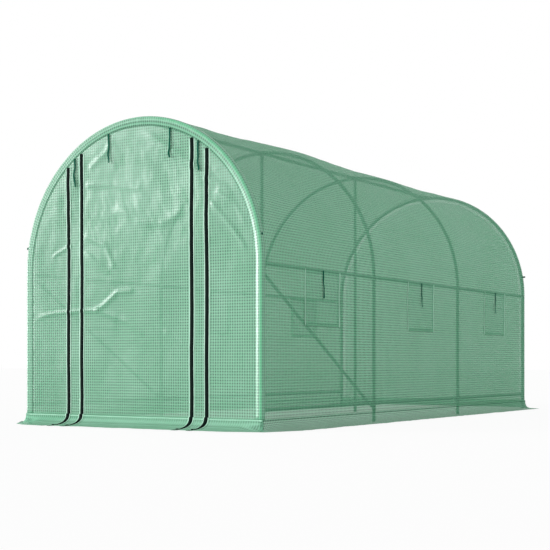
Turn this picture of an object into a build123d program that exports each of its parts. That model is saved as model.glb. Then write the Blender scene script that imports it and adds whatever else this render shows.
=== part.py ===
from build123d import *
import math
import os

# Polytunnel greenhouse: four steel hoops under a reinforced sheet cover.
# X runs across the tunnel, Y from the door end (low) to the back end (high), Z up.
# The origin is on the ground under the middle of the tunnel. All sizes are millimetres.

# Frame
bay_length = 1500.0
bay_count = 3
hoop_radius = 985.0
spring_height = 1075.0
rail_drop = 16.0
base_rail_height = 135.0
tube_diameter = 25.0
tube_wall = 1.2
brace_diameter = 22.0
brace_drop = 20.0
brace_press_length = 30.0
brace_press_width = 31.0
brace_taper_length = 35.0

# Push-fit joints where tubes meet
joint_wall = 1.5
socket_wall = 1.2
joint_reach = 45.0
fit_clearance = 0.3

# Cover
sheet_thickness = 3.0
hem_width = 45.0
roof_sag = 30.0
roof_spans = 6
hoop_land = 40.0
fold_height = 75.0
skirt_reach = 200.0
skirt_corner_reach = 50.0
skirt_corner_run = 150.0
skirt_lap = 15.0
skirt_drop_share = 0.3
skirt_run_share = 0.35

# Door end: a door panel with a zip on each side and a strip to the next zip
outer_zip_offset = 590.0
inner_zip_offset = 470.0
zip_width = 18.0
zip_thickness = 3.0
outer_tie_offset = 530.0
inner_tie_offset = 260.0

# Side windows, one in each bay
window_width = 420.0
window_height = 330.0
window_head_drop = 25.0
net_thickness = 1.5
flap_margin = 25.0
flap_thickness = 2.0

# Webbing ties that hold a rolled-up door or flap
tie_width = 14.0
tie_thickness = 2.0
door_tie_length = 200.0
window_tie_length = 190.0

# Places that follow from the sizes above
half_length = bay_length * bay_count / 2
hoop_places = [bay_length * number - half_length for number in range(bay_count + 1)]
bay_middles = [(low + high) / 2 for low, high in zip(hoop_places, hoop_places[1:])]
rail_height = spring_height - rail_drop
ridge_height = spring_height + hoop_radius
sleeve_bore = tube_diameter + 2 * fit_clearance
sleeve_diameter = sleeve_bore + 2 * joint_wall
socket_diameter = sleeve_bore + 2 * socket_wall
rail_stop = sleeve_diameter / 2
sheet_inside = hoop_radius + rail_stop + fit_clearance
sheet_outside = sheet_inside + sheet_thickness
end_inside = half_length + rail_stop + fit_clearance
end_outside = end_inside + sheet_thickness
hem_radius = hoop_radius - hem_width
window_head = rail_height - window_head_drop


def rod(start, end, diameter):
    way = Vector(*end) - Vector(*start)
    place = Plane(origin=start, z_dir=way)
    return place * Cylinder(diameter / 2, way.length, align=(Align.CENTER, Align.CENTER, Align.MIN))


def tube(start, end, diameter=tube_diameter, wall=tube_wall):
    return rod(start, end, diameter) - rod(start, end, diameter - 2 * wall)


def block(low, high):
    size = [top - bottom for bottom, top in zip(low, high)]
    return Pos(*low) * Box(*size, align=(Align.MIN, Align.MIN, Align.MIN))


def bend(place, diameter, sweep_angle=180.0, start_angle=0.0):
    """A round bar bent to the hoop's radius in the plane Y = place."""
    axis = Axis((0, place, spring_height), (0, -1, 0))
    section = Pos(hoop_radius, place, spring_height) * Circle(diameter / 2)
    return revolve(section, axis, sweep_angle).rotate(axis, start_angle)


def hoop_arch(place):
    """The bent top of a hoop, with a short straight spigot at each foot."""
    shape = bend(place, tube_diameter) - bend(place, tube_diameter - 2 * tube_wall)
    for side in (-1, 1):
        foot = (side * hoop_radius, place, rail_height)
        head = (side * hoop_radius, place, spring_height)
        shape += tube(foot, head)
    return shape


def hoop_legs(place):
    legs = []
    for side in (-1, 1):
        x = side * hoop_radius
        legs.append(tube((x, place, 0), (x, place, rail_height)))
    return Compound(children=legs)


def rail_ways(place):
    """The directions along Y in which a rail leaves the hoop at this place."""
    ways = []
    if place > hoop_places[0]:
        ways.append(-1)
    if place < hoop_places[-1]:
        ways.append(1)
    return ways


def rail(x, z):
    """One rail along the tunnel: a tube in each bay, between the hoops' joints."""
    tubes = []
    for low, high in zip(hoop_places, hoop_places[1:]):
        tubes.append(tube((x, low + rail_stop, z), (x, high - rail_stop, z)))
    return Compound(children=tubes)


def rail_sockets(centre, ways, diameter, first):
    x, y, z = centre
    sockets = []
    for way in ways:
        sockets.append(rod((x, y + way * first, z), (x, y + way * (rail_stop + joint_reach), z), diameter))
    return sockets


def leg_joint(side, place, height):
    """A sleeve round a leg, with a socket for each rail that meets it there."""
    centre = (side * hoop_radius, place, height)
    low = (side * hoop_radius, place, height - joint_reach)
    high = (side * hoop_radius, place, min(height + joint_reach, rail_height + rail_stop))
    ways = rail_ways(place)
    shape = rod(low, high, sleeve_diameter)
    for socket in rail_sockets(centre, ways, socket_diameter, 0):
        shape += socket
    for bore in rail_sockets(centre, ways, sleeve_bore, rail_stop):
        shape -= bore
    return shape - rod(low, high, sleeve_bore)


def ridge_joint(place, has_post):
    """A sleeve round the top of a hoop, with sockets for the ridge rail and the post."""
    sweep = 2 * math.degrees(joint_reach / hoop_radius)
    centre = (0, place, ridge_height)
    ways = rail_ways(place)
    post_socket = ((0, place, ridge_height - rail_stop - joint_reach), (0, place, ridge_height - rail_stop))
    shape = bend(place, sleeve_diameter, sweep, 90 - sweep / 2)
    for socket in rail_sockets(centre, ways, socket_diameter, 0):
        shape += socket
    if has_post:
        shape += rod(post_socket[0], centre, socket_diameter)
        shape -= rod(*post_socket, sleeve_bore)
    for bore in rail_sockets(centre, ways, sleeve_bore, rail_stop):
        shape -= bore
    return shape - bend(place, sleeve_bore)


def centre_post(place):
    return tube((0, place, 0), (0, place, ridge_height - rail_stop))


def brace(side):
    """The diagonal tube of the first bay, inside the legs, with its ends pressed flat to bolt on."""
    x = side * (hoop_radius - rail_stop - fit_clearance - brace_diameter / 2)
    top = Vector(x, hoop_places[0], rail_height - brace_drop)
    foot = Vector(x, hoop_places[1], base_rail_height - brace_drop)
    taper_end = brace_press_length + brace_taper_length
    along = (foot - top).normalized()
    shape = tube(top + along * taper_end, foot - along * taper_end, brace_diameter)
    for tip, way in ((top, along), (foot, along * -1)):
        end = Plane(origin=tip, x_dir=(side, 0, 0), z_dir=way)
        pressed = Pos(brace_diameter / 2 - tube_wall, 0) * Rectangle(2 * tube_wall, brace_press_width)
        shape += extrude(end * pressed, brace_press_length)
        round_end = end.offset(taper_end) * Circle(brace_diameter / 2)
        shape += loft([end.offset(brace_press_length) * pressed, round_end])
    return shape


def end_outline(radius, bottom):
    """The tunnel's cross-section: an arch of this radius on straight sides, as a flat face."""
    arch = Pos(0, spring_height) * Circle(radius)
    sides = Pos(0, bottom) * Rectangle(2 * radius, spring_height - bottom, align=(Align.CENTER, Align.MIN))
    trim = Pos(0, bottom) * Rectangle(4 * radius, 4 * radius, align=(Align.CENTER, Align.MIN))
    return (arch + sides) & trim


def upright(face, outer_place, thickness, way):
    """Stands a face drawn in X and Z at outer_place and gives it thickness back along -way."""
    plane = Plane(origin=(0, outer_place, 0), x_dir=(1, 0, 0), z_dir=(0, -1, 0))
    return extrude(plane * face, thickness * way)


def roof_section(radius, sag):
    """The sheet's line across the tunnel, which dips by sag between the rails."""
    corners = []
    for step in range(2 * roof_spans + 1):
        angle = math.pi * step / (2 * roof_spans)
        dip = sag * math.sin(2 * angle) ** 2
        reach = radius - dip
        corners.append((reach * math.cos(angle), spring_height + reach * math.sin(angle)))
    return Spline(*corners, tangents=((0, 1), (0, -1)), tangent_scalars=(1, 1))


def roof_sheet(low, high):
    """The sheet of one bay: it lies on both hoops and sags between the ridge and the side rails."""
    sections = []
    middle = (low + high) / 2
    for place, sag in ((low, 0), (low + hoop_land, 0), (middle, roof_sag), (high - hoop_land, 0), (high, 0)):
        outer = roof_section(sheet_outside, sag)
        inner = roof_section(sheet_inside, sag)
        feet = [Line(outer @ 0, inner @ 0), Line(outer @ 1, inner @ 1)]
        plane = Plane(origin=(0, place, 0), x_dir=(1, 0, 0), z_dir=(0, -1, 0))
        sections.append(plane * make_face([outer, inner, *feet]))
    return loft(sections)


def side_wall(side):
    """The upright part of the cover on one side, cut for a window in each bay."""
    inner, outer = sorted((side * sheet_inside, side * sheet_outside))
    wall = block((inner, -end_outside, fold_height), (outer, end_outside, spring_height))
    for middle in bay_middles:
        wall -= block((inner - sheet_thickness, middle - window_width / 2, window_head - window_height),
                      (outer + sheet_thickness, middle + window_width / 2, window_head))
    return wall


def window_nets(side):
    inner, outer = sorted((side * sheet_inside, side * (sheet_inside + net_thickness)))
    nets = []
    for middle in bay_middles:
        nets.append(block((inner, middle - window_width / 2, window_head - window_height),
                          (outer, middle + window_width / 2, window_head)))
    return Compound(children=nets)


def window_flaps(side):
    inner, outer = sorted((side * sheet_outside, side * (sheet_outside + flap_thickness)))
    half_width = window_width / 2 + flap_margin
    flaps = []
    for middle in bay_middles:
        flaps.append(block((inner, middle - half_width, window_head - window_height - flap_margin),
                           (outer, middle + half_width, window_head + flap_margin)))
    return Compound(children=flaps)


def window_ties(side):
    face = sheet_outside + flap_thickness
    inner, outer = sorted((side * face, side * (face + tie_thickness)))
    top = window_head + flap_margin
    ties = []
    for middle in bay_middles:
        ties.append(block((inner, middle - tie_width / 2, top - window_tie_length),
                          (outer, middle + tie_width / 2, top)))
    return Compound(children=ties)


def end_hem(way):
    band = end_outline(sheet_inside - fit_clearance, fold_height) - end_outline(hem_radius, 0)
    return upright(band, way * end_outside, sheet_thickness, way)


def end_sheet(way, low_x, high_x):
    """Part of an end's sheet, between two upright edges and inside the hem."""
    strip = Pos(low_x, fold_height) * Rectangle(high_x - low_x, 2 * ridge_height, align=(Align.MIN, Align.MIN))
    return upright(end_outline(hem_radius, fold_height) & strip, way * end_outside, sheet_thickness, way)


def arch_height(x, radius):
    return spring_height + math.sqrt(radius ** 2 - x ** 2)


def skirt_curve(reach, lift):
    """The skirt's upper line from the wall's fold out to the ground, raised by lift."""
    low = fold_height * skirt_drop_share + lift
    return Bezier((lift, fold_height), (lift, low), (reach * skirt_run_share, lift), (reach, lift))


def skirt_section(reach):
    """The skirt's section: sewn to the wall's outer face, then turning out on to the ground.
    X is the distance out from the wall, Y the height."""
    top = fold_height + skirt_lap
    outer = skirt_curve(reach, sheet_thickness)
    inner = skirt_curve(reach, 0)
    sewn = Polyline((0, fold_height), (0, top), (sheet_thickness, top), (sheet_thickness, fold_height))
    return make_face([sewn, outer, Line(outer @ 1, inner @ 1), inner])


def skirt(start, end):
    """The skirt along one wall, drawn in at its two mitred corners.
    The ground outside the wall is on the right of the way from start to end."""
    start = Vector(*start)
    end = Vector(*end)
    along = (end - start).normalized()
    out = along.cross(Vector(0, 0, 1))
    inset = along * skirt_corner_run
    mitre = scale(skirt_section(skirt_corner_reach), (math.sqrt(2), 1, 1))
    full = skirt_section(skirt_reach)
    sections = []
    for origin, aim, section in (
        (start, out - along, mitre),
        (start + inset, out, full),
        (end - inset, out, full),
        (end, out + along, mitre),
    ):
        plane = Plane(origin=origin, x_dir=aim, z_dir=aim.cross(Vector(0, 0, 1)))
        sections.append(plane * section)
    return loft(sections, ruled=True)


def zip_strip(x):
    """A zip up the end wall and down over its skirt to the ground."""
    top = fold_height + skirt_lap
    head = arch_height(x, hem_radius)
    lower = skirt_curve(skirt_reach, sheet_thickness)
    upper = skirt_curve(skirt_reach, sheet_thickness + zip_thickness)
    tape = Polyline((sheet_thickness + zip_thickness, fold_height),
                    (sheet_thickness + zip_thickness, top + zip_thickness),
                    (zip_thickness, top + zip_thickness), (zip_thickness, head), (0, head), (0, top),
                    (sheet_thickness, top), (sheet_thickness, fold_height))
    section = make_face([tape, lower, Line(lower @ 1, upper @ 1), upper])
    plane = Plane(origin=(x - zip_width / 2, -end_outside, 0), x_dir=(0, -1, 0), z_dir=(-1, 0, 0))
    return extrude(plane * section, -zip_width)


def zips(offset):
    return Compound(children=[zip_strip(side * offset) for side in (-1, 1)])


def door_ties():
    ties = []
    for x in (-outer_tie_offset, -inner_tie_offset, inner_tie_offset, outer_tie_offset):
        top = arch_height(x, hem_radius)
        ties.append(block((x - tie_width / 2, -end_outside - tie_thickness, top - door_tie_length),
                          (x + tie_width / 2, -end_outside, top)))
    return Compound(children=ties)


def save(name, shape):
    export_step(shape, f"parts/{name}.step")


os.makedirs("parts", exist_ok=True)

for number, place in enumerate(hoop_places, start=1):
    save(f"hoop_{number}_arch", hoop_arch(place))
    save(f"hoop_{number}_legs", hoop_legs(place))

save("ridge_rail", rail(0, ridge_height))
save("right_side_rail", rail(hoop_radius, rail_height))
save("left_side_rail", rail(-hoop_radius, rail_height))
save("right_base_rail", rail(hoop_radius, base_rail_height))
save("left_base_rail", rail(-hoop_radius, base_rail_height))
save("right_brace", brace(1))
save("left_brace", brace(-1))

inner_hoops = hoop_places[1:-1]
save("front_centre_post", centre_post(inner_hoops[0]))
save("rear_centre_post", centre_post(inner_hoops[-1]))
save("ridge_joints", Compound(children=[ridge_joint(place, place in inner_hoops) for place in hoop_places]))
for name, height in (("side_rail_joints", rail_height), ("base_rail_joints", base_rail_height)):
    save(name, Compound(children=[leg_joint(side, place, height) for side in (-1, 1) for place in hoop_places]))

sheet_ends = [-end_outside, *inner_hoops, end_outside]
for number, (low, high) in enumerate(zip(sheet_ends, sheet_ends[1:]), start=1):
    save(f"roof_bay_{number}", roof_sheet(low, high))

for side_name, side in (("right", 1), ("left", -1)):
    save(f"{side_name}_wall", side_wall(side))
    save(f"{side_name}_window_nets", window_nets(side))
    save(f"{side_name}_window_flaps", window_flaps(side))
    save(f"{side_name}_window_ties", window_ties(side))

for end_name, way in (("front", -1), ("back", 1)):
    save(f"{end_name}_hem", end_hem(way))
save("back_panel", end_sheet(1, -hem_radius, hem_radius))
save("front_left_panel", end_sheet(-1, -hem_radius, -outer_zip_offset))
save("door_left_strip", end_sheet(-1, -outer_zip_offset, -inner_zip_offset))
save("door_panel", end_sheet(-1, -inner_zip_offset, inner_zip_offset))
save("door_right_strip", end_sheet(-1, inner_zip_offset, outer_zip_offset))
save("front_right_panel", end_sheet(-1, outer_zip_offset, hem_radius))
save("outer_zips", zips(outer_zip_offset))
save("inner_zips", zips(inner_zip_offset))
save("door_ties", door_ties())

front_left = (-sheet_outside, -end_outside)
front_right = (sheet_outside, -end_outside)
back_right = (sheet_outside, end_outside)
back_left = (-sheet_outside, end_outside)
save("front_skirt", skirt(front_left, front_right))
save("right_skirt", skirt(front_right, back_right))
save("back_skirt", skirt(back_right, back_left))
save("left_skirt", skirt(back_left, front_left))
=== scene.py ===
# %% [markdown]
# # A polytunnel greenhouse, dressed in Blender
# The steel hoops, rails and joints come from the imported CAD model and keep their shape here.
# The cover is another matter: it is a thin woven film that sags between the hoops, creases and
# lets light through, so this lesson cuts it anew from grids of points and lays it where the CAD
# has its plain sheets. Everything is in metres: X across the tunnel, Y along it, Z up.

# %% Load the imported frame
import math

import bpy
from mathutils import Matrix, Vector, noise


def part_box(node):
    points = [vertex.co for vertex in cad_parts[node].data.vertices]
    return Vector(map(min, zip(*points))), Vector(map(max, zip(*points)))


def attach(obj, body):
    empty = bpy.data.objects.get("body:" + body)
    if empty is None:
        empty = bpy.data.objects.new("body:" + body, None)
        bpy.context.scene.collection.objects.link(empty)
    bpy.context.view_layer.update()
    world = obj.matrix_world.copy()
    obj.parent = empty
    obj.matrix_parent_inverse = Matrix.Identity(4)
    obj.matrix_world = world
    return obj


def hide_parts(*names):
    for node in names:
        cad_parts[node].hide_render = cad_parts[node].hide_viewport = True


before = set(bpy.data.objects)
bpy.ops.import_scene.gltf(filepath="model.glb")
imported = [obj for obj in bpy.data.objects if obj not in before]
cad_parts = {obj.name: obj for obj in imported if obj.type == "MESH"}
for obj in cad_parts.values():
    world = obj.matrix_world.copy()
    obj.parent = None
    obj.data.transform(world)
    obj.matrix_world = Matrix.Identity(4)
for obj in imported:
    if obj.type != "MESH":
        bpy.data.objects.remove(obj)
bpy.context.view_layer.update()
print("frame loaded:", len(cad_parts), "nodes")

# %% [markdown]
# ## The sizes that the cover has to fit
# The cover lies on the hoops, so its sizes follow from theirs. They are read from the frame where a
# node's box gives them, and are otherwise the sizes of the CAD model in metres. Only the windows
# and the door are given apart from these: cloth is sewn less exactly than steel is bent, and in the
# photograph they stand up to 25 mm from the middle of their bay or end.

# %% Sizes
bay_length = 1.5
hoop_places = [bay_length * (number - 1.5) for number in range(4)]
spring_height = 1.075
rail_height = 1.059
base_rail_height = 0.135
fold_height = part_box("right_wall")[0].z
wall_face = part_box("right_wall")[1].x
end_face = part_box("back_panel")[1].y
film = 0.0008
film_depth = 0.0012  # from the CAD wall's outer face in to the middle of the film
tuck = 0.004  # how far a sheet's edge runs in under its neighbour
cover_radius = wall_face - film_depth
hem_radius = 0.940
roof_sag = 0.030
outer_zip_offset = 0.590
inner_zip_offset = 0.470
door_shift = -0.020
window_middles = [-1.520, 0.010, 1.525]
window_width = 0.420
window_height = 0.330
window_head = rail_height - 0.025
window_sill = window_head - window_height
flap_margin = 0.025
net_margin = 0.010
print(f"wall face {wall_face:.4f}, end face {end_face:.4f}, fold {fold_height:.3f}")

# %% [markdown]
# ## Shader maths that reads like a sum
# A material is a tree of nodes. Wiring each Math node by hand hides the idea, so a small class
# wraps an output socket: adding or multiplying two of them adds the node and gives the next wire.

# %% A wire of the node tree


class Wire:
    """One output of a node. Sums on it add Math nodes; node() adds any other kind."""

    def __init__(self, socket):
        self.socket = socket

    def node(self, kind, settings=None, sockets=None, output=0):
        tree = self.socket.id_data
        made = tree.nodes.new(kind)
        for key, value in (settings or {}).items():
            setattr(made, key, value)
        for key, value in (sockets or {}).items():
            if isinstance(value, Wire):
                tree.links.new(value.socket, made.inputs[key])
            else:
                made.inputs[key].default_value = value
        return Wire(made.outputs[output])

    def maths(self, operation, *others):
        sockets = dict(enumerate((self, *others)))
        return self.node("ShaderNodeMath", {"operation": operation}, sockets)

    def __add__(self, other):
        return self.maths("ADD", other)

    def __mul__(self, other):
        return self.maths("MULTIPLY", other)

    def __sub__(self, other):
        return self.maths("SUBTRACT", other)

    def __rsub__(self, other):
        return self * -1 + other

    def __pow__(self, other):
        return self.maths("POWER", other)

    __radd__ = __add__
    __rmul__ = __mul__

    def clamped(self):
        return self.node("ShaderNodeClamp", None, {"Value": self})

    def wave(self, pitch):
        """0 to 1 and back each pitch along this wire."""
        return (self * (2 * math.pi / pitch)).maths("COSINE") * 0.5 + 0.5

    def blend(self, low, high):
        """A colour from low to high as this wire goes from 0 to 1."""
        sockets = {"Factor": self, "A": low, "B": high}
        return self.node("ShaderNodeMix", {"data_type": "RGBA"}, sockets, output=2)


def new_finish(name):
    """A material with a surface shader, and the wire of the place on the object, in metres."""
    material = bpy.data.materials.new(name)
    material.use_nodes = True
    tree = material.node_tree
    shader = tree.nodes["Principled BSDF"]
    place = Wire(tree.nodes.new("ShaderNodeTexCoord").outputs["Object"])
    return material, shader, place


def feed(shader, **values):
    """Sets the shader's sockets, named with _ for a space: a wire is linked and a number is set."""
    for key, value in values.items():
        socket = shader.inputs[key.replace("_", " ")]
        if isinstance(value, Wire):
            shader.id_data.links.new(value.socket, socket)
        else:
            socket.default_value = value


def grain(place, scale, detail=3.0):
    """Noise from 0 to 1, finer as scale grows."""
    sockets = {"Vector": place, "Scale": scale, "Detail": detail}
    return place.node("ShaderNodeTexNoise", None, sockets)


def bumped(height, depth, strength=0.5):
    """A normal that makes height, a wire from 0 to 1, look depth metres deep."""
    sockets = {"Height": height, "Distance": depth, "Strength": strength}
    return height.node("ShaderNodeBump", None, sockets)


print("shader maths ready")

# %% [markdown]
# ## The woven film
# The cover is a scrim: threads laid in a square net between two clear green films. From a few
# metres away the threads are darker lines, darkest where two cross, and the film between them is
# paler. The net has to run round the arch without stretching, so the coordinate up the sheet is
# the height on the walls and the length of arc on the roof. One cosine wave each way gives the
# threads, their product gives the crossings, and the sum drives colour, transparency and bump.

# %% Places on the cloth
net_pitch = 0.0188
upright_thread = 0.52
level_thread = 0.40
thread_crossing = 0.42


def split(place):
    """The wires of X, Y and Z."""
    axes = place.node("ShaderNodeSeparateXYZ", None, {0: place})
    return [Wire(socket) for socket in axes.socket.node.outputs]


def height_round_arch(x, z):
    """Height on the walls, and on the arch the spring height with the length of arc added."""
    lean = (z - spring_height).maths("ARCTAN2", x.maths("ABSOLUTE"))
    return z.maths("MINIMUM", spring_height) + lean.maths("MAXIMUM", 0.0) * cover_radius


def reach_from_axis(x, z):
    """Distance from the tunnel's middle line, as the end hems are laid out."""
    rise = (z - spring_height).maths("MAXIMUM", 0.0)
    return (x * x + rise * rise).maths("SQRT")


def along_end(x, y, z):
    return x, z


def along_cover(x, y, z):
    return y, height_round_arch(x, z)


def along_hem(x, y, z):
    return reach_from_axis(x, z) + y, height_round_arch(x, z)


def along_end_skirt(x, y, z):
    return x, y - z


def along_side_skirt(x, y, z):
    return y, x.maths("ABSOLUTE") - z


print("cloth coordinates ready")

# %% [markdown]
# ## One recipe for all the film
# Walls, ends, hems and skirts are the same film, so one function makes their materials, with the
# net's direction, alpha, paleness and gloss set for each. The end skirts are painted much paler
# than
# the side skirts: painted light, a lit and a shaded copy of one film. The alpha stays below one:
# the steel behind it shows through as it does on the real tunnel, and no second trick is needed for
# that.

# %% Film finish
film_green = (0.295, 0.790, 0.490, 1)
film_pale = (0.400, 0.880, 0.610, 1)
film_shade = (0.005, 0.060, 0.030, 1)
# Painted highlight: the whitish colour of the sheen that is painted in patches high on the door
# end.
painted_sheen_white = (0.640, 0.930, 0.780, 1)
seam_green = (0.060, 0.500, 0.215, 1)
# Painted highlight: this pale colour on welts and flap welds stands in for light along their edges.
welt_painted_highlight = (0.560, 0.880, 0.700, 1)


def film_finish(name, cloth_axes, alpha, net=0.60, pale=0.35, gloss=0.30, dull=0.34, painted_sheen=0.0,
                trim=None):
    """The film, with its net laid along cloth_axes(x, y, z).

    net is how dark the threads are, and a painted sheen whitens the film in patches high up, as a
    painted highlight.
    trim(x, y, z) gives a wire and the colour that it brings in.
    """
    material, shader, place = new_finish(name)
    x, y, z = split(place)
    across, up = cloth_axes(x, y, z)
    upright, level = across.wave(net_pitch), up.wave(net_pitch)
    crossing = upright * level * thread_crossing
    thread = upright * upright_thread + level * level_thread + crossing
    cloudy = grain(place, 2.3)
    fine = grain(place, 60.0, 2.0)
    ground = (cloudy * 1.1 + (pale - 0.55)).clamped().blend(film_green, film_pale)
    mottled = (fine * 0.16).clamped().blend(ground, film_shade)
    colour = (thread * net).clamped().blend(mottled, film_shade)
    cover = thread * 0.10 + alpha
    # Painted sheen: whitish noise patches, stronger high up, stand in for light shining on the
    # film.
    if painted_sheen:
        noise_patches = (grain(place, 2.9, 5.0) * 6.0 - 2.9).clamped()
        high_up = ((z - 1.0) * 1.3).clamped()
        colour = (noise_patches * high_up * painted_sheen).blend(colour, painted_sheen_white)
    if trim:
        where, trimmed = trim(x, y, z)
        colour = where.clamped().blend(colour, trimmed)
        cover = where * 0.35 + cover
    roughness = cloudy * 0.2 + (dull - 0.1) + thread * 0.1
    feed(shader, Base_Color=colour, Roughness=roughness.clamped(), Alpha=cover.clamped(),
         Normal=bumped(thread, 0.0006, 0.45))
    shader.inputs["Specular IOR Level"].default_value = gloss
    return material


def within(wire, low, high, soft=0.002):
    """1 where the wire lies between low and high, with soft edges."""
    return ((wire - low) * (1 / soft)).clamped() * ((high - wire) * (1 / soft)).clamped()


def corner_seam(x, y, z):
    """The cover's sewn seam down the right corner, where film three deep is a stronger green."""
    right_side = (x * 3.0 + 0.1).clamped()
    seam = within(reach_from_axis(x, z), wall_face - 0.020, wall_face - 0.006)
    return seam * right_side * 0.55, seam_green


def flap_edges(x, y, z):
    """Welded strips down both sides of each window flap, painted pale as a painted highlight."""
    gaps = [(y - middle).maths("ABSOLUTE") for middle in window_middles]
    across = gaps[0].maths("MINIMUM", gaps[1]).maths("MINIMUM", gaps[2])
    edge = window_width / 2 + flap_margin
    return within(across, edge - 0.011, edge + 0.004) * 0.8, welt_painted_highlight


# The door end's film carries the painted sheen, a painted highlight in patches high up.
end_film = film_finish("film_end", along_end, 0.55, net=0.68, gloss=0.60, dull=0.26, painted_sheen=0.26)
back_film = film_finish("film_back", along_end, 0.42, net=0.50, gloss=0.30)
cover_film = film_finish("film_cover", along_cover, 0.44,
                         net=0.55, pale=0.30, gloss=0.06, dull=0.55)
flap_film = film_finish("film_flap", along_cover, 0.44,
                        net=0.54, gloss=0.06, dull=0.55, trim=flap_edges)
hem_film = film_finish("film_hem", along_hem, 0.72,
                       net=0.68, gloss=0.60, dull=0.28, trim=corner_seam)
back_hem_film = film_finish("film_back_hem", along_hem, 0.26, net=0.40, gloss=0.10)
# Painted light: the end skirts' film is painted much paler than the side skirts', a lit and a
# shaded copy of one film.
end_skirt_film = film_finish("film_end_skirt", along_end_skirt, 0.62,
                             net=0.50, pale=0.75, gloss=0.12, dull=0.48)
side_skirt_film = film_finish("film_side_skirt", along_side_skirt, 0.50,
                              net=0.72, pale=0.25, gloss=0.06, dull=0.50)
print("film finishes:", end_film.name, cover_film.name, hem_film.name)

# %% [markdown]
# ## The trimmings: zip, webbing, binding and net
# A coil zip is woven polyester tape with a nylon coil, near black with a green cast. The roll-up
# ties are ribbed webbing. The film's cut edges beside a zip are folded over and welded into a
# glossier strip, painted pale as a painted highlight. The window net is so fine that its holes are
# alpha, not geometry.

# %% Trimming finishes
# The welts' duller tone, still pale: part of the same painted highlight.
welt_painted_highlight_dim = (0.380, 0.720, 0.530, 1)
net_mesh = 0.0022


def woven_finish(name, dark, light, pitch, roughness, depth):
    """Ribbed tape or webbing, depth metres deep from rib to rib."""
    material, shader, place = new_finish(name)
    x, y, z = split(place)
    rib = (z + x * 0.5 + y * 0.5).wave(pitch)
    worn = grain(place, 9.0)
    feed(shader, Base_Color=(rib * 0.6 + worn * 0.4).clamped().blend(dark, light),
         Roughness=(worn * 0.2 + roughness).clamped(), Normal=bumped(rib, depth))
    shader.inputs["Specular IOR Level"].default_value = 0.05
    return material


def welt_finish():
    material, shader, place = new_finish("welded_edge_painted_highlight")
    x, y, z = split(place)
    press = (x + y + z).wave(0.006)
    worn = grain(place, 14.0)
    pressed = (worn * 0.7 + press * 0.3).clamped()
    # Painted highlight: the welt is coloured pale all over, and noise and a fine wave vary the
    # tone.
    feed(shader, Base_Color=pressed.blend(welt_painted_highlight_dim, welt_painted_highlight),
         Roughness=(worn * 0.2 + 0.25).clamped(), Normal=bumped(press, 0.0004))
    return material


def net_finish():
    material, shader, place = new_finish("insect_net")
    x, y, z = split(place)
    thread = (y.wave(net_mesh) ** 3.0).maths("MAXIMUM", z.wave(net_mesh) ** 3.0)
    colour = grain(place, 6.0).blend((0.10, 0.34, 0.21, 1), (0.16, 0.44, 0.28, 1))
    feed(shader, Base_Color=colour, Roughness=0.6, Alpha=(thread * 0.12 + 0.06).clamped(),
         Normal=bumped(thread, 0.0003))
    return material


zip_tape_finish = woven_finish("zip_tape", (0.001, 0.005, 0.004, 1), (0.004, 0.014, 0.011, 1),
                               pitch=0.0016, roughness=0.62, depth=0.0002)
zip_coil_finish = woven_finish("zip_coil", (0.001, 0.003, 0.003, 1), (0.005, 0.014, 0.012, 1),
                               pitch=0.0040, roughness=0.50, depth=0.0002)
webbing_finish = woven_finish("webbing", (0.001, 0.070, 0.040, 1), (0.004, 0.120, 0.070, 1),
                              pitch=0.0030, roughness=0.62, depth=0.0004)
welt = welt_finish()
insect_net = net_finish()
print("trimmings:", zip_tape_finish.name, webbing_finish.name, welt.name, insect_net.name)

# %% [markdown]
# ## The frame: coated steel and moulded joints
# The tubes are thin steel with a baked green coat that has a slight orange peel and rubs lighter
# where parts slide together. The joints are moulded plastic with a fine grain. Both keep the CAD
# mesh: its shape is right, and only a material is missing.

# %% Frame finishes


def coated_steel():
    material, shader, place = new_finish("coated_steel")
    peel = grain(place, 420.0, 2.0)
    worn = grain(place, 7.0, 6.0)
    noise_patches = (worn * 4.0 - 2.3).clamped()
    feed(shader, Base_Color=noise_patches.blend((0.016, 0.060, 0.040, 1), (0.050, 0.115, 0.085, 1)),
         Roughness=(0.46 - noise_patches * 0.12).clamped(), Metallic=(noise_patches * 0.35).clamped(),
         Normal=bumped(peel, 0.0003, 0.3))
    shader.inputs["Coat Weight"].default_value = 0.25
    return material


def moulded_plastic():
    material, shader, place = new_finish("moulded_plastic")
    fine = grain(place, 900.0, 2.0)
    cloudy = grain(place, 11.0)
    feed(shader, Base_Color=cloudy.blend((0.012, 0.022, 0.018, 1), (0.030, 0.050, 0.042, 1)),
         Roughness=(0.42 + cloudy * 0.2).clamped(), Normal=bumped(fine, 0.0002, 0.4))
    return material


steel = coated_steel()
plastic = moulded_plastic()
tube_endings = ("_arch", "_legs", "_rail", "_brace", "_post")
for node_name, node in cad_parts.items():
    if node_name.endswith((*tube_endings, "_joints")):
        node.data.materials.clear()
        node.data.materials.append(steel if node_name.endswith(tube_endings) else plastic)
print("frame finished in", steel.name, "and", plastic.name)

# %% [markdown]
# ## Cutting cloth from rows of points
# A sheet could be a subdivided plane that is bent with modifiers, but the tunnel's cover has window
# openings whose edges must be sharp. So each sheet is a grid of points that are worked out one by
# one, with grid lines placed exactly on the openings' edges. A Solidify modifier gives it the
# film's thickness.

# %% Cloth helpers


def stations(start, stop, step, keep=()):
    """Places from start to stop about a step apart, with those in keep among them."""
    stops = sorted({start, stop, *keep})
    places = []
    for low, high in zip(stops, stops[1:]):
        count = max(1, round((high - low) / step))
        places += [low + (high - low) * number / count for number in range(count)]
    return places + [stops[-1]]


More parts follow.
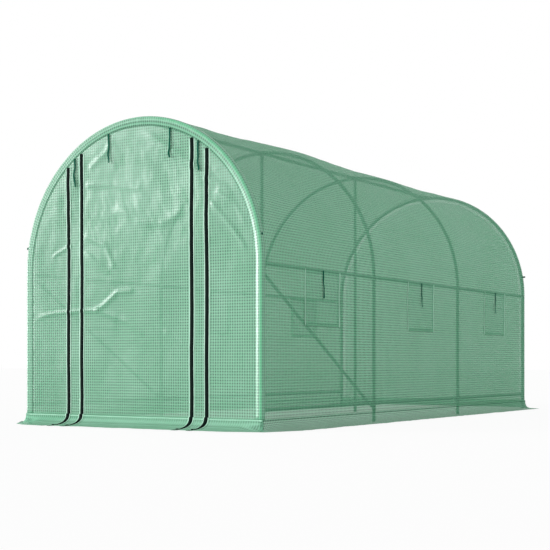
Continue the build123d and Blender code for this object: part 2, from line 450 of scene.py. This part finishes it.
def piece_from(name, points, faces, finish, replaced, slot):
    """One smooth mesh piece that rides the tunnel and stands for the CAD nodes in replaced."""
    mesh = bpy.data.meshes.new(name)
    mesh.from_pydata(points, [], faces)
    mesh.polygons.foreach_set("use_smooth", [True] * len(mesh.polygons))
    mesh.materials.append(finish)
    mesh.update()
    piece = bpy.data.objects.new(name, mesh)
    bpy.context.scene.collection.objects.link(piece)
    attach(piece, "root")
    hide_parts(*replaced)
    return piece


def cloth(name, rows, finish, replaced, slot="cover_sheet", thickness=film, open_at=None):
    """A sheet through rows of points. Faces are cut out where open_at(their middle) is true."""
    width = len(rows[0])
    points = [Vector(point) for row in rows for point in row]
    faces = []
    for row in range(len(rows) - 1):
        for column in range(width - 1):
            corner = row * width + column
            face = (corner, corner + 1, corner + width + 1, corner + width)
            middle = sum((points[index] for index in face), Vector()) / 4
            if open_at is None or not open_at(middle):
                faces.append(face)
    used = sorted({index for face in faces for index in face})
    number = {index: place for place, index in enumerate(used)}
    faces = [tuple(number[index] for index in face) for face in faces]
    piece = piece_from(name, [points[index] for index in used], faces, finish, replaced, slot)
    solid = piece.modifiers.new("film", "SOLIDIFY")
    solid.thickness = thickness
    solid.offset = 0
    return piece


def eased(value, low, high):
    """0 below low, 1 above high and a smooth step between."""
    share = min(1.0, max(0.0, (value - low) / (high - low)))
    return share * share * (3 - 2 * share)


def area_of(rows):
    """The area of the sheet through rows of points, in square metres."""
    total = 0.0
    for low, high in zip(rows, rows[1:]):
        for a, b, c, d in zip(low, low[1:], high[1:], high):
            total += ((Vector(c) - Vector(a)).cross(Vector(d) - Vector(b))).length / 2
    return total


print("cloth helpers ready")

# %% [markdown]
# ## Creases
# Film that has lain folded in a box keeps its creases. Two things make them up: soft billows, which
# smooth noise gives, and sharp folds, which are straight ridges between a few listed points.
# The distance to each ridge gives its height, so a fold fades away on both sides.

# %% Folds on the door end
hem_step = 0.0058  # from the sheet forward to the face of its hem
front_creases = [  # a line of (x, z) points, the fold's height and its width
    ([(-0.96, 0.744), (-0.755, 0.776), (-0.49, 0.791), (-0.353, 0.793)], 0.0050, 0.010),
    ([(-0.353, 0.793), (-0.29, 0.83), (-0.173, 0.912), (-0.056, 0.915)], 0.0055, 0.014),
    ([(-0.353, 0.793), (-0.085, 0.705), (0.03, 0.63)], 0.0040, 0.018),
    ([(0.24, 0.63), (0.437, 0.531)], 0.0030, 0.016),
    ([(0.04, 2.00), (0.20, 1.885), (0.32, 1.80), (0.44, 1.72)], 0.0060, 0.030),
    ([(0.62, 1.455), (0.751, 1.315), (0.86, 1.18)], 0.0055, 0.018),
    ([(0.66, 1.53), (0.802, 1.439), (0.87, 1.32)], 0.0045, 0.022),
    ([(0.575, 1.62), (0.72, 1.555)], 0.0040, 0.024),
    ([(-0.43, 1.655), (-0.249, 1.645), (0.0, 1.60)], 0.0050, 0.022),
    ([(-0.455, 1.30), (-0.278, 1.229), (-0.21, 1.09)], 0.0050, 0.016),
    ([(-0.455, 1.19), (-0.367, 1.12), (-0.26, 1.05)], 0.0045, 0.014),
    ([(-0.74, 1.185), (-0.60, 1.245)], 0.0045, 0.012),
    ([(-0.16, 1.47), (0.038, 1.379), (0.205, 1.358), (0.34, 1.41)], 0.0050, 0.030),
    ([(-0.40, 1.78), (-0.28, 1.86), (-0.22, 1.95)], 0.0045, 0.020),
]


def near_line(x, z, line):
    """The distance in the sheet from a point to a line of several runs."""
    best = math.inf
    for (ax, az), (bx, bz) in zip(line, line[1:]):
        dx, dz = bx - ax, bz - az
        share = min(1.0, max(0.0, ((x - ax) * dx + (z - az) * dz) / (dx * dx + dz * dz)))
        best = min(best, math.hypot(x - ax - share * dx, z - az - share * dz))
    return best


def billow(a, b, seed, scale):
    """A smooth swell from -1 to 1 whose lumps are about scale metres across."""
    return noise.noise(Vector((a / scale, b / scale, seed)))


def end_edge(x, z):
    """1 in the middle of an end sheet, and 0 at its hem and its fold."""
    rise = max(0.0, z - spring_height)
    inside_hem = eased(hem_radius - math.hypot(x, rise), 0.0, 0.10)
    return inside_hem * eased(z, fold_height, fold_height + 0.12)


def crispness(out_x):
    """How crisp the end hem is for a direction out from the axis: 1 on the right, 0 on the left."""
    return eased(out_x, -0.7, 0.3)


def flush_rise(x, z):
    """On the left the sheet comes forward to the hem's face, so that no step shows there."""
    rise = max(0.0, z - spring_height)
    reach = math.hypot(x, rise)
    softness = 1 - crispness(x / max(reach, 0.001))
    return hem_step * softness * eased(reach, hem_radius - 0.30, hem_radius - 0.02)


def front_swell(x, z):
    """How far the door end's sheet stands out from flat here, in metres."""
    free = end_edge(x, z)
    upper = 0.35 + 0.65 * eased(z, 0.75, 1.5)
    swell = (0.0040 + 0.0045 * upper) * billow(x, z * 0.8, 3.1, 0.38)
    swell += 0.0036 * upper * billow(x + z * 0.6, z - x * 0.5, 7.7, 0.13)
    swell += 0.0013 * upper * billow(x * 1.4 + z, z * 0.5 - x, 12.4, 0.05)
    for line, height, width in front_creases:
        distance = near_line(x, z, line)
        if distance < 3.2 * width:
            swell += height * math.exp(-((distance / width) ** 2))
    return free * swell + flush_rise(x, z)


def back_swell(x, z):
    swell = 0.0060 * billow(x + 5, z * 0.8, 1.9, 0.45)
    swell += 0.0035 * billow(x - z * 0.7, z + x * 0.4, 5.2, 0.16)
    swell += 0.0012 * billow(x, z, 9.3, 0.06)
    return end_edge(x, z) * swell


print("creases on the door end:", len(front_creases))

# %% [markdown]
# ## The main cover, one sheet over the whole tunnel
# On the real tunnel one sheet runs from the fold on one side, over the hoops, to the fold on the
# other. It is tight on the hoops and rails and slack between them. cover_point gives the place of
# any point of that sheet from its distance round the tunnel and its distance along it.

# %% Main cover
arch_half = cover_radius * math.pi / 2
wall_run = spring_height - fold_height
cover_end = end_face - 0.0125
round_step = 0.0240
along_step = 0.0235


def slack(y):
    """0 on a hoop and 1 in the middle of a bay."""
    nearest = min(abs(y - place) for place in hoop_places)
    return eased(nearest, 0.018, bay_length / 2) ** 0.8


def off_rails(z_or_angle, places, width):
    """0 on a rail, and 1 where the nearest one is width away or more."""
    return min(eased(abs(z_or_angle - place), 0.012, width) for place in places)


def crown_lift(angle, y):
    """The joints under the second hoop hold the sheet a little clear of it beside the ridge."""
    beside = (0.4 + 0.6 * eased(angle, 0.0, 0.22)) * (1 - eased(angle, 0.45, 1.0))
    return 0.019 * beside * math.exp(-(((y + 0.70) / 0.75) ** 2)) * eased(y, -2.1, -1.4)


def roof_slack(round_way, y):
    angle = abs(round_way) / cover_radius
    dip = roof_sag * math.sin(2 * angle) ** 2 * slack(y)
    free = off_rails(angle, (0.0, math.pi / 2), 0.30) * eased(slack(y), 0.0, 0.25)
    fold = 0.0045 * billow(y * 1.1, angle * 1.6, 2.2, 0.30)
    fold += 0.0022 * billow(y + angle, angle * 2 - y, 4.4, 0.11)
    pull = 0.0028 * abs(billow(y * 0.35 + angle * 0.9, angle * 3.0, 8.8, 0.16))
    return crown_lift(angle, y) - dip + free * (fold - pull)


def wall_slack(side, y, z):
    free = off_rails(z, (rail_height, base_rail_height), 0.16) * eased(slack(y), 0.0, 0.22)
    bow = -0.006 * free * slack(y)
    streak = billow(y * 1.0 + z * 0.62, (z - y * 1.3) * 0.22, 6.1 + side, 0.085)
    fold = 0.0040 * billow(y, z, 3.3 + side, 0.33)
    fold += 0.0030 * streak * eased(z, 0.15, 0.4)
    return bow + free * fold


def cover_point(round_way, y):
    side = 1 if round_way >= 0 else -1
    if abs(round_way) <= arch_half:
        angle = round_way / cover_radius
        reach = cover_radius + roof_slack(round_way, y)
        return (reach * math.sin(angle), y, spring_height + reach * math.cos(angle))
    z = spring_height - (abs(round_way) - arch_half)
    return (side * (cover_radius + wall_slack(side, y, z)), y, z)


def at_window(point):
    if abs(point.x) < 0.9 or not window_sill < point.z < window_head:
        return False
    return any(abs(point.y - middle) < window_width / 2 for middle in window_middles)


window_edges_y = [middle + way * window_width / 2 for middle in window_middles for way in (-1, 1)]
window_edges_s = [arch_half + spring_height - z for z in (window_head, window_sill)]
ways_round = stations(-arch_half - wall_run, arch_half + wall_run, round_step,
                      [way * s for s in window_edges_s for way in (-1, 1)])
ways_along = stations(-cover_end, cover_end, along_step, window_edges_y + hoop_places)
cover_rows = [[cover_point(s, y) for y in ways_along] for s in ways_round]
main_cover = cloth("main_cover", cover_rows, cover_film,
                   ["roof_bay_1", "roof_bay_2", "roof_bay_3", "right_wall", "left_wall"],
                   open_at=at_window)
cover_flat = (2 * cover_end, 2 * (arch_half + wall_run))
cover_flat[0] * cover_flat[1] - 6 * window_width * window_height
print(f"main cover {cover_flat[0]:.2f} by {cover_flat[1]:.2f} m,",
      len(main_cover.data.polygons), "faces")

# %% [markdown]
# ## The end sheets
# The door end is five widths of film with a zip between each; the back is one width. Each is a
# grid whose columns end on the arch. The sheet lies a little behind the hoop's front, so that the
# hem stands out as a rounded rim, as it does where film is pulled over a tube. Only on the door
# end's left does the sheet come forward, flush with its hem.

# %% End sheets
end_plane = end_face - 0.0074
end_top_radius = hem_radius + tuck
end_steps = 165
fine_step = 0.012


def arch_top(x, radius):
    return spring_height + math.sqrt(max(0.0, radius * radius - x * x))


def end_sheet(name, way, low, high, swell, node, finish):
    """A sheet from x = low to high, at the door end for way = -1 and at the back for way = 1."""
    columns = stations(low, high, fine_step)
    bottom = fold_height - tuck
    rows = []
    for step in range(end_steps + 1):
        row = []
        for x in columns:
            z = bottom + (arch_top(x, end_top_radius) - bottom) * step / end_steps
            row.append((x, way * (end_plane + swell(x, z)), z))
        rows.append(row)
    piece = cloth(name, rows, finish, [node])
    flat = (high - low, max(arch_top(x, end_top_radius) for x in columns) - bottom)
    min(area_of(rows), flat[0] * flat[1])
    return piece


zip_offsets = (-outer_zip_offset, -inner_zip_offset, inner_zip_offset, outer_zip_offset)
door_edges = [-end_top_radius, *(door_shift + offset for offset in zip_offsets), end_top_radius]
door_sheets = [("door_end_left", "front_left_panel"), ("door_strip_left", "door_left_strip"),
               ("door_sheet", "door_panel"), ("door_strip_right", "door_right_strip"),
               ("door_end_right", "front_right_panel")]
for (name, node), low, high in zip(door_sheets, door_edges, door_edges[1:]):
    made = end_sheet(name, -1, low, high, front_swell, node, end_film)
    print(made.name, f"{high - low:.3f} m wide")
end_sheet("back_sheet", 1, -end_top_radius, end_top_radius, back_swell, "back_panel", back_film)

# %% [markdown]
# ## The end hems
# A hem is a sleeve of doubled film round the end hoop. Its section is drawn once, from the cover's
# side, round the tube, to the flat of the end sheet, and is carried up one leg, over the arch and
# down the other. The soft inner slope is what catches the light along the door end.

# %% End hems
leg_step = 0.022
arc_step = 0.021
hem_section = [  # (distance from the tunnel's axis, distance from its middle)
    (wall_face + 0.0004, end_face - 0.0300),
    (wall_face + 0.0008, end_face - 0.0180),
    (wall_face + 0.0004, end_face - 0.0090),
    (wall_face - 0.0020, end_face - 0.0030),
    (wall_face - 0.0065, end_face - 0.0008),
    (wall_face - 0.0130, end_face - 0.0004),
    (wall_face - 0.0210, end_face - 0.0004),
    (wall_face - 0.0300, end_face - 0.0008),
    (wall_face - 0.0350, end_face - 0.0020),
    (wall_face - 0.0410, end_face - 0.0042),
    (wall_face - 0.0460, end_face - 0.0056),
    (hem_radius + 0.0010, end_face - 0.0064),
]


def hem_places():
    """Directions out and the heights they start from, from the left foot to the right."""
    leg = stations(fold_height - tuck, spring_height, leg_step)[:-1]
    arc = stations(math.pi, 0.0, arc_step)[::-1]
    return [*(((-1.0, 0.0), z) for z in leg),
            *(((math.cos(angle), math.sin(angle)), spring_height) for angle in arc),
            *(((1.0, 0.0), z) for z in reversed(leg))]


def end_hem(name, way, finish, node):
    """The hem is crisp on the right, where the seam holds it, and eases in on the left."""
    crown_reach, crown_y = hem_section[5]
    rows = []
    for number, ((out_x, out_z), z) in enumerate(hem_places()):
        pucker = 0.0007 * noise.noise(Vector((number * 0.45, way * 3.0, 0.5)))
        crisp = crispness(out_x) if way < 0 else 1.0
        row = []
        for reach, y in hem_section:
            if reach < crown_reach:
                y = crisp * y + (1 - crisp) * (crown_y - 0.0002)
            row.append((out_x * reach, way * (y + pucker), z + out_z * reach))
        rows.append(row)
    piece = cloth(name, rows, finish, [node], thickness=2 * film)
    "hoop_1_arch" if way < 0 else "hoop_4_arch"
    return piece


for name, way, finish, node in (("door_end_hem", -1, hem_film, "front_hem"),
                                ("back_end_hem", 1, back_hem_film, "back_hem")):
    made = end_hem(name, way, finish, node)
    print(made.name, "of", len(made.data.polygons), "faces")

# %% [markdown]
# ## The skirt
# Round the foot the film turns out on to the ground, where soil or stones hold it. Each side's
# skirt is ruled between cross-sections, and at the corners it is drawn in to a mitre, so the folds
# meet on the diagonal. Noise lifts the free edge a few millimetres, as film that lies loose does.

# %% Skirts
skirt_reach = 0.200
corner_reach = 0.050
corner_run = 0.150
drop_share = 0.3
run_share = 0.35
lap = 0.002
lap_share = 0.1  # the part of each section that is its lap on the wall
wall_gap = 0.0024
ground_gap = 0.0012


def bezier(points, share):
    """The point at a share of the way along a Bezier curve."""
    points = [Vector(point) for point in points]
    while len(points) > 1:
        points = [low.lerp(high, share) for low, high in zip(points, points[1:])]
    return points[0]


def skirt_line(reach, share, lift=0.0):
    """Out and up: the skirt's section at a share of the way from the lap's top to the edge."""
    if share <= lap_share:
        return Vector((wall_gap + lift, fold_height + lap * (1 - share / lap_share)))
    ends = [(wall_gap, fold_height), (wall_gap, fold_height * drop_share),
            (reach * run_share, ground_gap), (reach, ground_gap)]
    at = (share - lap_share) / (1 - lap_share)
    turn = eased(at, 0.0, 1.0)
    return bezier(ends, at) + Vector((lift * (1 - turn), lift * turn))


def skirt_point(corner, along, out, length, run, share, seed):
    """A point of the skirt, run metres along the wall from its first corner."""
    mirrored = run > length / 2
    near = length - run if mirrored else run
    inward = -along if mirrored else along
    start = corner + along * length if mirrored else corner
    ripple = noise.noise(Vector((run * 5.0, seed, 0.0)))
    small = noise.noise(Vector((run * 17.0, seed, 4.0)))
    full = skirt_line(skirt_reach * (1 + 0.05 * ripple), share)
    narrow = skirt_line(corner_reach, share)
    lifted = share ** 4 * (0.0035 * (1 + ripple) + 0.0015 * (1 + small))
    if near >= corner_run:
        return start + inward * near + out * full.x + Vector((0, 0, full.y + lifted))
    mix = near / corner_run
    tip = start + (out - inward) * narrow.x + Vector((0, 0, narrow.y))
    edge = start + inward * corner_run + out * full.x + Vector((0, 0, full.y + lifted))
    return tip.lerp(edge, mix)


corners = [Vector((x * wall_face, y * end_face, 0))
           for x, y in ((-1, -1), (1, -1), (1, 1), (-1, 1))]
shares = stations(0.0, 1.0, 0.045, [lap_share])
for number, (name, finish) in enumerate((
        ("front_skirt", end_skirt_film), ("right_skirt", side_skirt_film),
        ("back_skirt", end_skirt_film), ("left_skirt", side_skirt_film))):
    corner = corners[number]
    away = corners[(number + 1) % 4] - corner
    along = away.normalized()
    out = along.cross(Vector((0, 0, 1)))
    runs = stations(0.0, away.length, 0.03, [corner_run, away.length - corner_run])
    seed = number * 11.0
    rows = [[skirt_point(corner, along, out, away.length, run, share, seed) for run in runs]
            for share in shares]
    piece = cloth(name + "_sheet", rows, finish, [name])
    print(piece.name, f"{away.length:.2f} m long")

# %% [markdown]
# ## The fold's welt
# Where the skirt's film meets the walls, its edge is rolled and welded. The roll is a round bead on
# the real cover, and it is made as one, because its upper side catches the light as a bright line.

# %% Fold welt
bead_radius = 0.0032
bead_sides = 8
bead_drop = 0.007


def tube_faces(rings, sides):
    """The faces round a closed section that is carried along a path, with a face at each end."""
    faces = []
    for ring in range(rings - 1):
        for side in range(sides):
            low, beside = ring * sides + side, ring * sides + (side + 1) % sides
            faces.append((low, beside, beside + sides, low + sides))
    last = rings * sides - 1
    return faces + [tuple(range(sides)), tuple(range(last, last - sides, -1))]


def bead(points, radius):
    """Vertices and faces of a round bead along a level path."""
    vertices = []
    way = (points[-1] - points[0]).normalized()
    out = way.cross(Vector((0, 0, 1)))
    for point in points:
        for corner in range(bead_sides):
            turn = corner * 2 * math.pi / bead_sides
            rise = Vector((0, 0, math.sin(turn) * radius))
            vertices.append(point + out * math.cos(turn) * radius + rise)
    return vertices, tube_faces(len(points), bead_sides)


def joined(parts):
    """Several (vertices, faces) as one."""
    vertices, faces = [], []
    for part_vertices, part_faces in parts:
        first = len(vertices)
        vertices += part_vertices
        faces += [tuple(first + index for index in face) for face in part_faces]
    return vertices, faces


def fold_bead(corner, away):
    along = away.normalized()
    out = along.cross(Vector((0, 0, 1)))
    points = []
    for run in stations(0.0, away.length, 0.03):
        wander = 0.0012 * noise.noise(Vector((run * 6.0, corner.x, corner.y)))
        height = Vector((0, 0, fold_height - bead_drop + wander))
        points.append(corner + along * run + out * 0.0022 + height)
    return bead(points, bead_radius)


fold_beads = [fold_bead(corner, corners[(number + 1) % 4] - corner)
              for number, corner in enumerate(corners)]
# The end beads are painted pale with the welt material, a painted highlight on their bright line;
# the side beads keep the skirt's film.
for name, beads, finish, nodes in (
        ("end_fold_welts", fold_beads[0::2], welt, ["front_skirt", "back_skirt"]),
        ("side_fold_welts", fold_beads[1::2], side_skirt_film, ["right_skirt", "left_skirt"])):
    made = piece_from(name, *joined(beads), finish, nodes, "cover_sheet")
    print(name, len(made.data.polygons), "faces")

# %% [markdown]
# ## Zips
# Each zip is a tape sewn to two folded edges of film, with a coil down its middle. It could be a
# flat strip with a texture, but the coil catches light, so it is real: hundreds of small blocks
# set alternately left and right. All parts follow one path: down the sheet's own swell, and over
# the skirt.

# %% Zip path
skirt_run = 0.22
zip_gap = 0.0012  # from the skirt up to the zip's back


def front_skin(x, z, lift):
    """A point on the door end's outer face, raised by lift."""
    return Vector((x, -(end_plane + front_swell(x, z) + film / 2 + lift), z))


def zip_path(x, lift, step):
    """Points from under the hem down the sheet and over the skirt to the ground."""
    head = arch_top(x, hem_radius) - tuck
    points = [front_skin(x, z, lift) for z in stations(fold_height + lap, head, step)[::-1]]
    for share in stations(0.0, 0.985, step / skirt_run):
        line = skirt_line(skirt_reach, share, lift + film)
        points.append(Vector((x, -(end_face + line.x), line.y + zip_gap)))
    return points


def swept_strip(points, section):
    """Vertices and faces of a section of (across, lift) pairs swept along a path in Y and Z."""
    vertices = []
    for index, point in enumerate(points):
        before, after = points[max(0, index - 1)], points[min(len(points) - 1, index + 1)]
        way = (after - before).normalized()
        out = Vector((0, way.z, -way.y))
        vertices += [point + Vector((across, 0, 0)) + out * lift for across, lift in section]
    return vertices, tube_faces(len(points), len(section))


print("a zip's path has", len(zip_path(inner_zip_offset, 0.0, 0.02)), "points")

# %% [markdown]
# The tape's section is a flat bar with eased edges, the welts are low ridges beside it, and the
# coil's blocks are placed at equal steps along the path.

# %% Zips
tape_width, tape_height = 0.0300, 0.0022
welt_width, welt_height, welt_offset = 0.0070, 0.0019, 0.0185
coil_pitch = 0.0045
coil_swing = 0.0011


def bar(centre, width, height):
    """A low bar's section with eased corners, as (across, lift) pairs."""
    half, ease = width / 2, min(width, height) * 0.35
    return [(centre - half, 0), (centre - half, height - ease), (centre - half + ease, height),
            (centre + half - ease, height), (centre + half, height - ease), (centre + half, 0)]


def evenly(points, step):
    """Points and directions at equal steps along a path."""
    found, left = [], 0.0
    for low, high in zip(points, points[1:]):
        run = (high - low).length
        while left < run:
            found.append((low.lerp(high, left / run), (high - low).normalized()))
            left += step
        left -= run
    return found


def block_at(point, way, width, height, length):
    """Vertices and faces of a block that stands on the path and points along way."""
    out = Vector((0, way.z, -way.y))
    across, up, ahead = Vector((width / 2, 0, 0)), out * height, way * (length / 2)
    vertices = [point + across * a + up * b + ahead * c
                for a in (-1, 1) for b in (0, 1) for c in (-1, 1)]
    faces = [(0, 1, 3, 2), (4, 6, 7, 5), (0, 4, 5, 1), (2, 3, 7, 6), (0, 2, 6, 4), (1, 5, 7, 3)]
    return vertices, faces


def zip_coil(x):
    blocks = []
    for number, (point, way) in enumerate(evenly(zip_path(x, 0.0024, 0.02), coil_pitch)):
        shift = Vector((coil_swing if number % 2 else -coil_swing, 0, 0))
        blocks.append(block_at(point + shift, way, 0.0052, 0.0018, 0.0024))
    return joined(blocks)


def zip_slider(x):
    """The slider at the foot of a closed zip, with its pull tab lying on the tape."""
    point, way = evenly(zip_path(x, 0.0040, 0.02), 0.01)[-5]
    return joined([block_at(point, way, 0.0100, 0.0045, 0.014),
                   block_at(point + way * -0.022, way, 0.0060, 0.0016, 0.030)])


for kind, offset in (("outer", outer_zip_offset), ("inner", inner_zip_offset)):
    tapes, welts, coils = [], [], []
    for side in (-1, 1):
        x = door_shift + side * offset
        path = zip_path(x, 0.0002, 0.012)
        tapes.append(swept_strip(path, bar(0.0, tape_width, tape_height)))
        welts += [swept_strip(path, bar(way * welt_offset, welt_width, welt_height))
                  for way in (-1, 1)]
        coils += [zip_coil(x), zip_slider(x)]
    node = kind + "_zips"
    piece_from(kind + "_zip_tapes", *joined(tapes), zip_tape_finish, [node], "zip_black")
    # The welts beside each tape are painted pale, a painted highlight along the zip.
    piece_from(kind + "_zip_welts", *joined(welts), welt, [node], "cover_sheet")
    coil = piece_from(kind + "_zip_coils", *joined(coils), zip_coil_finish, [node], "zip_black")
    coil.data.polygons.foreach_set("use_smooth", [False] * len(coil.data.polygons))
    print(kind, "zips:", len(coil.data.polygons), "coil faces")

# %% [markdown]
# ## Webbing ties
# When the door is rolled up, four short webbing straps hold it, and one holds each window flap.
# They are sewn in above and hang free, so no two hang alike: each twists and sways a little, from
# its own seed.

# %% Ties
tie_width = 0.014
tie_steps = 24
door_tie_places = (-0.547, -0.246, 0.273, 0.502)
door_tie_length = 0.196
window_tie_length = 0.188


def tie_rows(top, length, across, out, seed, sway):
    """Rows of points of a strap that hangs from top, across wide and out off the sheet."""
    rows = []
    for step in range(tie_steps + 1):
        share = step / tie_steps
        drift = sway * share * noise.noise(Vector((share * 3.0, seed, 0.0)))
        off = 0.0025 + 0.006 * share * (0.5 + noise.noise(Vector((share * 4.0, seed, 2.0))))
        twist = 0.5 * share * noise.noise(Vector((share * 2.5, seed, 5.0)))
        middle = top + across * drift + out * off - Vector((0, 0, length * share))
        half = (across * math.cos(twist) + out * math.sin(twist)) * (tie_width / 2)
        rows.append([middle - half, middle, middle + half])
    return rows


def tie(name, top, length, across, out, seed, node, sway=0.020):
    rows = tie_rows(top, length, across, out, seed, sway)
    piece = cloth(name, rows, webbing_finish, [node], slot="webbing", thickness=0.0014)


for number, x in enumerate(door_tie_places, start=1):
    top = front_skin(x, arch_top(x, hem_radius) + tuck, 0.0035)
    tie(f"door_tie_{number}", top, door_tie_length, Vector((1, 0, 0)), Vector((0, -1, 0)),
        number * 3.7, "door_ties")
print("door ties hung")

# %% [markdown]
# On each end hoop, a little above the side rails, a short loop of webbing is sewn into the hem for
# a guy line. It is the same strap, bent double, so its rows run round half an oval.

# %% Guy loops
loop_height = 1.245
loop_steps = 16


def guy_loop(name, side, way, loop_reach, node):
    """A loop that stands loop_reach metres out from the hem."""
    foot_x = side * math.sqrt(cover_radius ** 2 - (loop_height - spring_height) ** 2)
    rows = []
    for step in range(loop_steps + 1):
        turn = math.pi * step / loop_steps
        x = foot_x + side * (0.001 + loop_reach * math.sin(turn))
        y = way * (end_face - 0.016 - 0.006 * math.cos(turn))
        rows.append([Vector((x, y, loop_height + tie_width * share)) for share in (-0.5, 0.0, 0.5)])
    piece = cloth(name, rows, webbing_finish, [node], slot="webbing", thickness=0.0020)


for place, way, side_name, side, reach in (
        ("front", -1, "left", -1, 0.024), ("front", -1, "right", 1, 0.007),
        ("back", 1, "left", -1, 0.020), ("back", 1, "right", 1, 0.024)):
    guy_loop(f"{place}_{side_name}_guy_loop", side, way, reach, place + "_hem")
print("guy loops sewn")

# %% [markdown]
# ## Windows
# Behind each opening is an insect net, and over it hangs a flap of the same film, welded down both
# sides where it closes. The welds are thicker, and painted pale as a painted highlight, so they
# show as light lines.

# %% Nets, flaps and their ties
net_lift = -0.0020
row_step = 0.0125


def wall_skin(side, y, z, lift):
    """A point on the outer face of a side wall, raised by lift."""
    return Vector((side * (cover_radius + wall_slack(side, y, z) + film / 2 + lift), y, z))


def window_sheet(name, side, middle, low, high, width, lift_at, finish, node, slot):
    columns = stations(middle - width / 2, middle + width / 2, fine_step)
    rows = [[wall_skin(side, y, z, lift_at(y - middle, z)) for y in columns]
            for z in stations(low, high, row_step)]
    piece = cloth(name, rows, finish, [node], slot=slot)


def flap_lift(across, z):
    """The flap lies on the wall, thicker at its side welds and a little open at its foot."""
    edge = window_width / 2 + flap_margin - abs(across)
    weld = 0.0014 * (1 - eased(edge, 0.006, 0.016))
    foot = 0.0050 * (1 - eased(z, window_sill - flap_margin, window_head - 0.15))
    return 0.0016 + weld + foot * (1 - (across / 0.30) ** 2)


for side_name, side in (("right", 1), ("left", -1)):
    for number, middle in enumerate(window_middles, start=1):
        window_sheet(f"{side_name}_net_{number}", side, middle, window_sill - net_margin,
                     window_head + net_margin, window_width + 2 * net_margin,
                     lambda across, z: net_lift, insect_net, f"{side_name}_window_nets",
                     "insect_net")
        window_sheet(f"{side_name}_flap_{number}", side, middle, window_sill - flap_margin,
                     window_head + flap_margin, window_width + 2 * flap_margin, flap_lift,
                     flap_film, f"{side_name}_window_flaps", "cover_sheet")
        top = wall_skin(side, middle, window_head + flap_margin, 0.004)
        tie(f"{side_name}_window_tie_{number}", top, window_tie_length, Vector((0, 1, 0)),
            Vector((side, 0, 0)), number * 5.1 + side, f"{side_name}_window_ties", sway=0.012)
print("windows dressed:", 2 * len(window_middles))

# %% [markdown]
# ## The floor, the backdrop and the light
# A product picture on white: the floor and the world show white to the camera, and the same white
# to gloss, while what lights the tunnel is plainer. From the left come a broad sun and a low,
# harder one, which gives the creases their shine, and a soft one fills in from the right. The
# floor keeps a faint shadow.

# %% Studio
floor_reach = 60.0
floor_depth = 0.0006
floor_white = 0.93
film_shade_share = 0.45
plain_level = 0.60


def seen_directly(tree):
    """A wire that is 1 for camera, glossy and transmission rays."""
    path = tree.nodes.new("ShaderNodeLightPath")
    rays = [Wire(path.outputs[name])
            for name in ("Is Camera Ray", "Is Glossy Ray", "Is Transmission Ray")]
    return (rays[0] + rays[1] + rays[2]).clamped()


def unshaded(tree):
    """A wire that is 1 on open ground and less for a ray that has come through the film."""
    path = tree.nodes.new("ShaderNodeLightPath")
    return 1 - Wire(path.outputs["Transparent Depth"]).clamped() * film_shade_share


def floor_finish():
    material = bpy.data.materials.new("studio_floor")
    material.use_nodes = True
    tree = material.node_tree
    shader = tree.nodes["Principled BSDF"]
    feed(shader, Base_Color=(0.85, 0.85, 0.85, 1), Roughness=0.9)
    glow = tree.nodes.new("ShaderNodeEmission")
    mixed = tree.nodes.new("ShaderNodeMixShader")
    share = seen_directly(tree) * unshaded(tree) * floor_white
    tree.links.new(share.socket, mixed.inputs[0])
    tree.links.new(shader.outputs[0], mixed.inputs[1])
    tree.links.new(glow.outputs[0], mixed.inputs[2])
    tree.links.new(mixed.outputs[0], tree.nodes["Material Output"].inputs[0])
    return material


floor_mesh = bpy.data.meshes.new("studio_floor")
floor_corners = [(x * floor_reach, y * floor_reach, 0)
                 for x, y in ((-1, -1), (1, -1), (1, 1), (-1, 1))]
floor_mesh.from_pydata(floor_corners, [], [(0, 1, 2, 3)])
floor_mesh.materials.append(floor_finish())
floor = bpy.data.objects.new("studio_floor", floor_mesh)
bpy.context.scene.collection.objects.link(floor)
floor.location.z = -floor_depth

world = bpy.data.worlds.new("studio")
bpy.context.scene.world = world
world.use_nodes = True
background = world.node_tree.nodes["Background"]
level = seen_directly(world.node_tree) * (1 - plain_level) + plain_level
world.node_tree.links.new(level.socket, background.inputs["Strength"])
background.inputs["Color"].default_value = (1, 1, 1, 1)


def sun(name, towards, strength, spread):
    """A sun that shines from the direction towards, with a soft edge of spread degrees."""
    lamp = bpy.data.lights.new(name, "SUN")
    lamp.energy = strength
    lamp.angle = math.radians(spread)
    holder = bpy.data.objects.new(name, lamp)
    holder.rotation_mode = "QUATERNION"
    holder.rotation_quaternion = Vector(towards).to_track_quat("Z", "Y")
    bpy.context.scene.collection.objects.link(holder)


sun("left_front_light", (-0.80, -0.56, 0.25), 1.6, 22)
sun("low_left_light", (-0.93, -0.36, 0.05), 1.2, 6)
sun("right_fill_light", (0.90, -0.40, 0.12), 0.50, 60)
print("studio lit")

# %% [markdown]
# ## The camera
# The photograph was taken from knee height with a long lens that was shifted, not tilted: the
# hoops' legs are upright in it. So the camera looks level, and the lens shift brings the tunnel
# into frame.

# %% Camera
lens = bpy.data.cameras.new("camera")
lens.sensor_width = 36.0
lens.lens = 78.75
lens.shift_x = -0.0723
lens.shift_y = 0.159
lens.clip_end = 200.0
camera = bpy.data.objects.new("camera", lens)
camera.location = (5.1444, -8.5708, 0.435)
camera.rotation_euler = (math.pi / 2, 0.0, math.radians(30.817))
bpy.context.scene.collection.objects.link(camera)
bpy.context.scene.camera = camera
bpy.context.scene.view_settings.view_transform = "Standard"
print("camera set")

# %% [markdown]
# ## The last step
# The view layer is brought up to date once more.

# %% Last update
bpy.context.view_layer.update()
